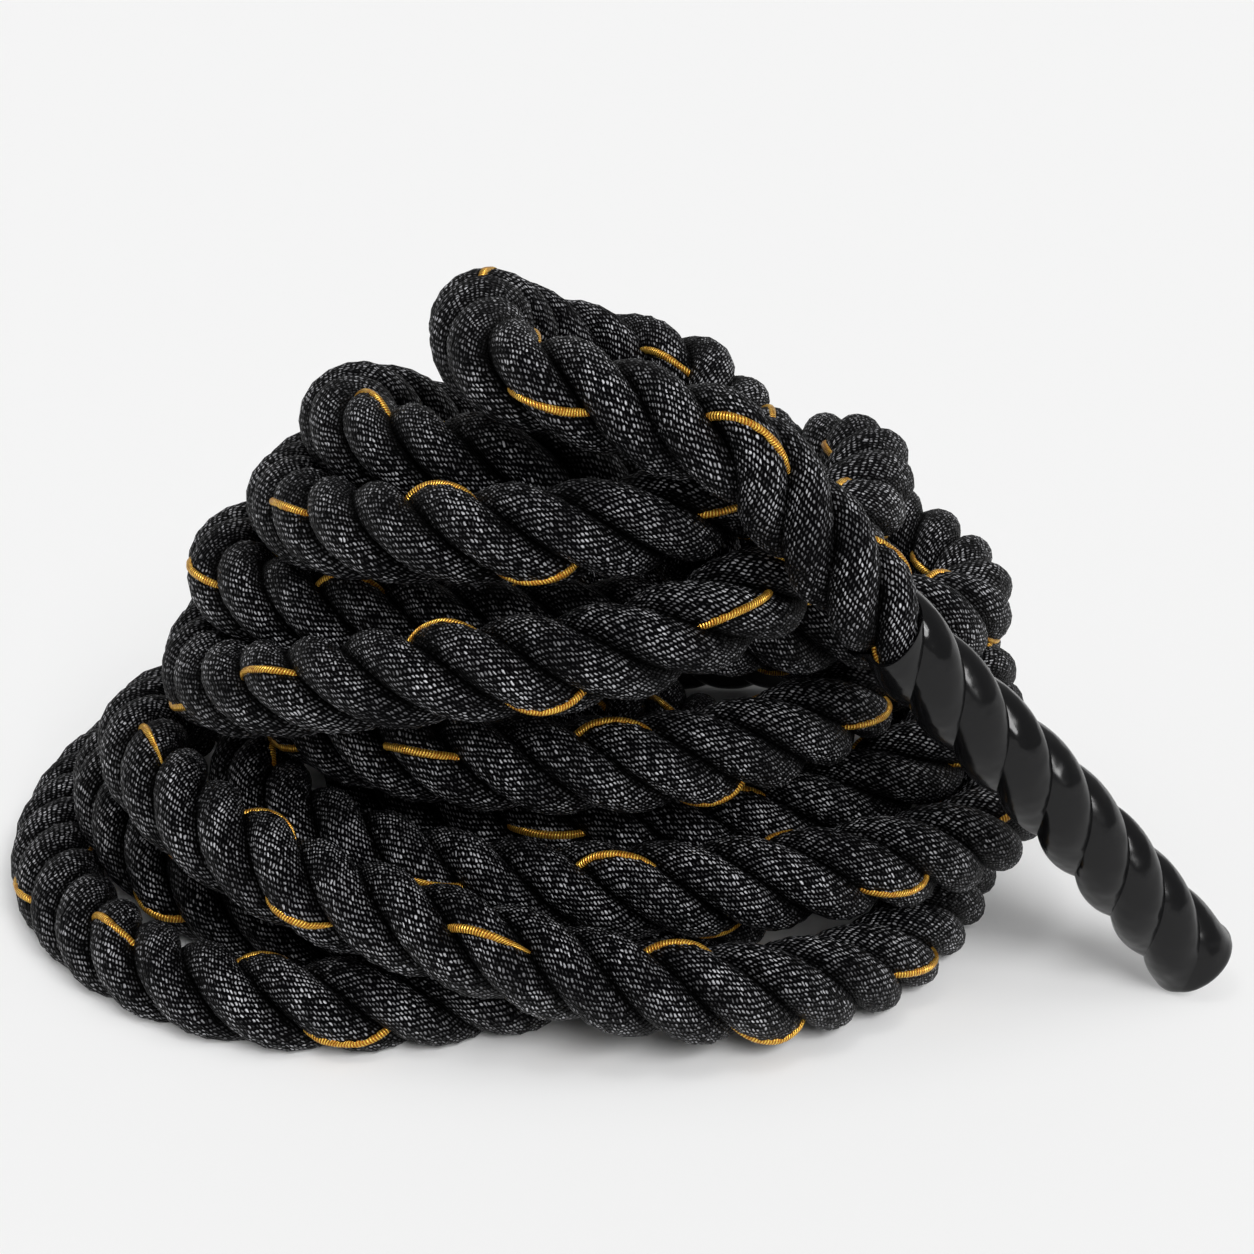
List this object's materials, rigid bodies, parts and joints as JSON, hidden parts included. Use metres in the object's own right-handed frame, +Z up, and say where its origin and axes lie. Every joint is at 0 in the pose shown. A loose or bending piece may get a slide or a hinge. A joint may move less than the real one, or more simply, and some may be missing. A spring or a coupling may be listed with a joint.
{
  "type": "battle rope",
  "caption": "Thick three-strand exercise rope with closed shrunk grips, lying in a coiled heap on the floor.",
  "frame": {"origin": "centre of the bounding box, on the floor that the heap lies on", "axes": "+Z up, -Y the heap's front, +X towards the closed end of the front grip"},
  "size_m": [0.5008, 0.4114, 0.2682],
  "materials": {
    "rope": "black polyester strands with a gold tracer, matt with a slight sheen",
    "grip": "black heat-shrunk polyolefin, glossy"
  },
  "bodies": {
    "root": {"rope_coil": "rope", "rope_front_end": "rope", "rope_rear_end": "rope", "grip_front": "grip", "grip_rear": "grip"}
  },
  "joints": []
}
